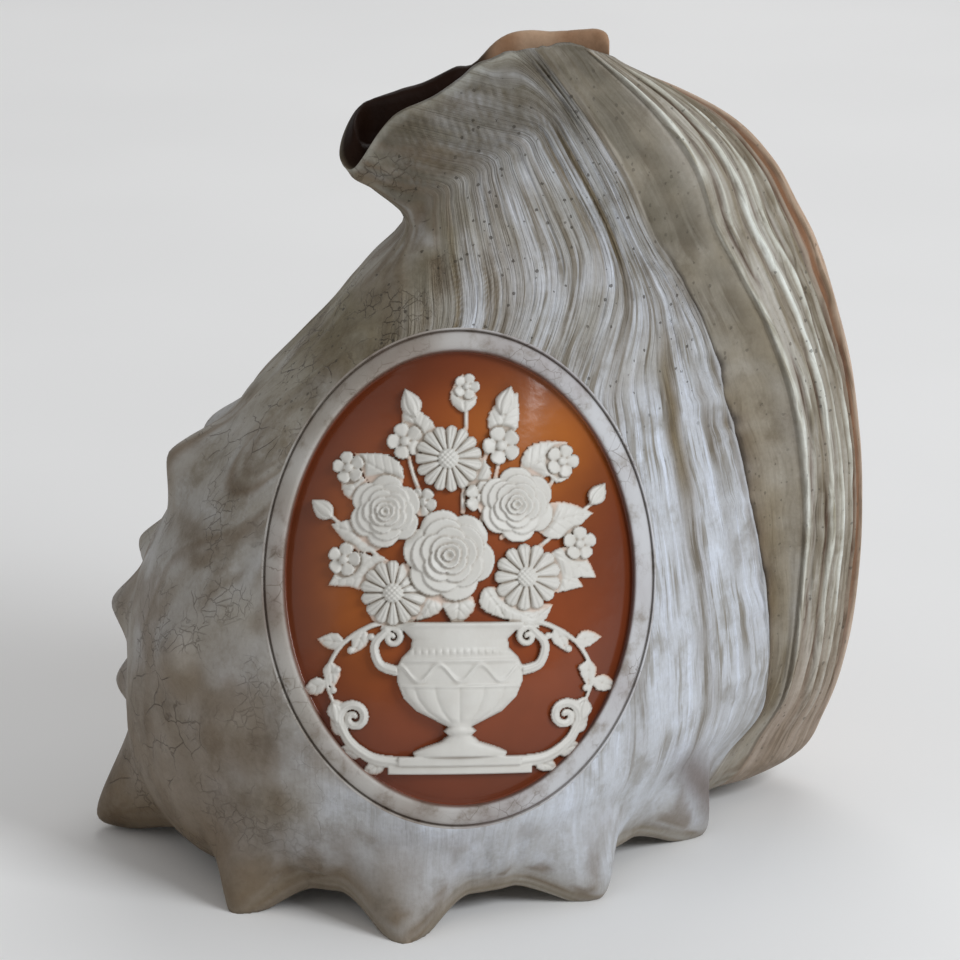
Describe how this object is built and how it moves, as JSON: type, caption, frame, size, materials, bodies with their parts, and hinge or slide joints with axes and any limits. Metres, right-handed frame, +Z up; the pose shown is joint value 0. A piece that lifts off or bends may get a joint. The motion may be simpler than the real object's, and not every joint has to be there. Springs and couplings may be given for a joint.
{
  "type": "carved helmet shell",
  "caption": "Large helmet sea shell with a thick ribbed outer lip, a crown of shoulder knobs, a narrow toothed mouth and an oval panel carved in relief on its back.",
  "frame": {"origin": "on the floor under the middle of the shell's outline", "axes": "+Z up towards the siphonal canal, +X towards the outer lip, +Y away from the carved face; the spire is underneath"},
  "size_m": [0.1866, 0.1216, 0.1971],
  "materials": {
    "shell": "aged lime shell, dull grey-white outside, polished in the carved oval"
  },
  "bodies": {
    "root": {"shell": "shell"}
  },
  "joints": []
}
